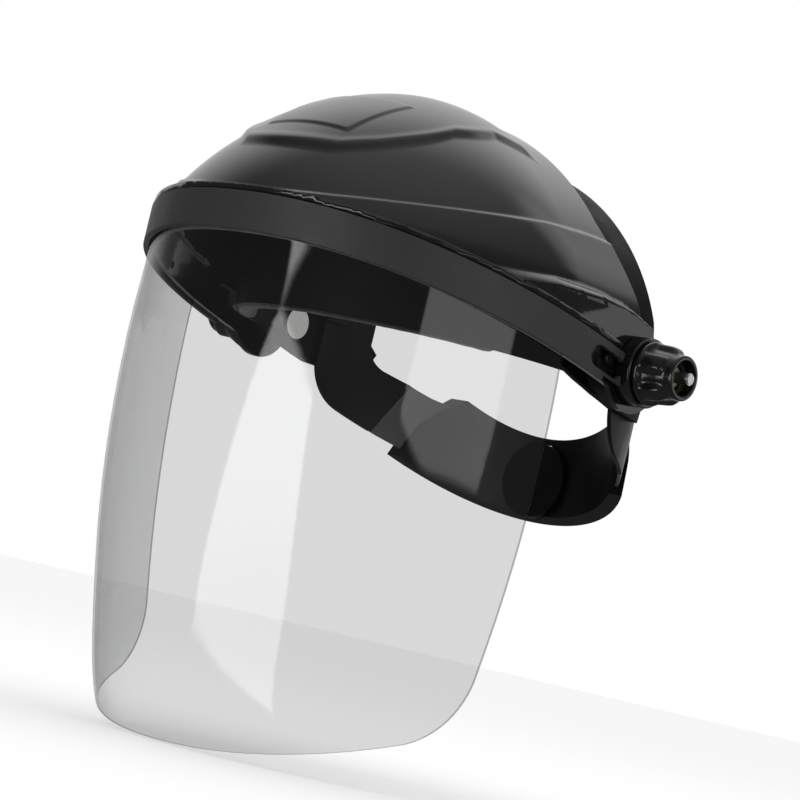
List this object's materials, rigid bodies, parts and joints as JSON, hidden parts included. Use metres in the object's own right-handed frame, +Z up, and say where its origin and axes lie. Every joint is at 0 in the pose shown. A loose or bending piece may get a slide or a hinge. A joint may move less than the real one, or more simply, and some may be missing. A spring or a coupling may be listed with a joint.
{
  "type": "face shield",
  "caption": "Head-worn face shield: domed crown with a clear bowed visor that tilts on two temple pivots of a ratchet headgear.",
  "frame": {"origin": "middle of the tilt axis, between the two temple pivots", "axes": "+Z up on the wearer, the wearer faces -Y, the wearer's left is +X; the shield is lowered"},
  "size_m": [0.272, 0.246, 0.284],
  "materials": {
    "clear_visor": "clear, lightly grey",
    "satin_trim": "satin, fine texture",
    "gloss_shell": "high gloss",
    "gloss_knob": "gloss",
    "matte_headgear": "matte",
    "satin_band": "satin",
    "grey_strap": "satin",
    "sweat_fabric": "woven over foam",
    "zinc_steel": "zinc plated",
    "brass_insert": "machined",
    "spring_steel": "plain"
  },
  "bodies": {
    "shield": {"visor_lens": "clear_visor", "rim_trim": "satin_trim", "crown_shell": "gloss_shell", "visor_pegs": "matte_headgear", "trim_lock_left": "gloss_shell", "trim_lock_right": "gloss_shell"},
    "headgear": {"front_headband": "matte_headgear", "sweatband": "sweat_fabric", "crown_strap_left": "matte_headgear", "crown_strap_right": "matte_headgear", "strap_peg": "matte_headgear", "strap_rivets": "zinc_steel", "side_plate_left": "matte_headgear", "side_plate_right": "matte_headgear", "side_arm_left": "satin_band", "side_arm_right": "satin_band", "adjusting_strap_left": "grey_strap", "adjusting_strap_right": "grey_strap", "pivot_bolt_left": "zinc_steel", "pivot_bolt_right": "zinc_steel", "pivot_hub_left": "matte_headgear", "pivot_hub_right": "matte_headgear", "pivot_flange_left": "gloss_knob", "pivot_flange_right": "gloss_knob"},
    "knob_left": {"pivot_knob_left": "gloss_knob", "knob_insert_left": "brass_insert"},
    "knob_right": {"pivot_knob_right": "gloss_knob", "knob_insert_right": "brass_insert"},
    "nape": {"nape_band": "satin_band", "ratchet_housing": "matte_headgear", "ratchet_cover": "matte_headgear", "detent_ring": "spring_steel"},
    "ratchet": {"ratchet_knob": "gloss_knob", "ratchet_pinion": "matte_headgear", "ratchet_screw": "zinc_steel"}
  },
  "joints": [
    {"name": "shield_tilt", "type": "hinge", "parent": "headgear", "child": "shield", "pos_m": [0, 0, 0], "axis": [-1, 0, 0], "range_deg": [0, 85]},
    {"name": "knob_turn_left", "type": "hinge", "parent": "headgear", "child": "knob_left", "pos_m": [0.115, 0, 0], "axis": [1, 0, 0], "continuous": true},
    {"name": "knob_turn_right", "type": "hinge", "parent": "headgear", "child": "knob_right", "pos_m": [-0.115, 0, 0], "axis": [-1, 0, 0], "continuous": true},
    {"name": "nape_adjust", "type": "slide", "parent": "headgear", "child": "nape", "axis": [0, 1, 0], "range_m": [-0.006, 0.012], "deforming": ["adjusting_strap_left", "adjusting_strap_right"]},
    {"name": "ratchet_turn", "type": "hinge", "parent": "nape", "child": "ratchet", "pos_m": [0, 0.1, -0.044], "axis": [0, 1, 0], "range_deg": [-58, 115]}
  ],
  "couplings": [
    {"joint": "ratchet_turn", "follows": "nape_adjust", "rad_per_m": 166.67}
  ]
}
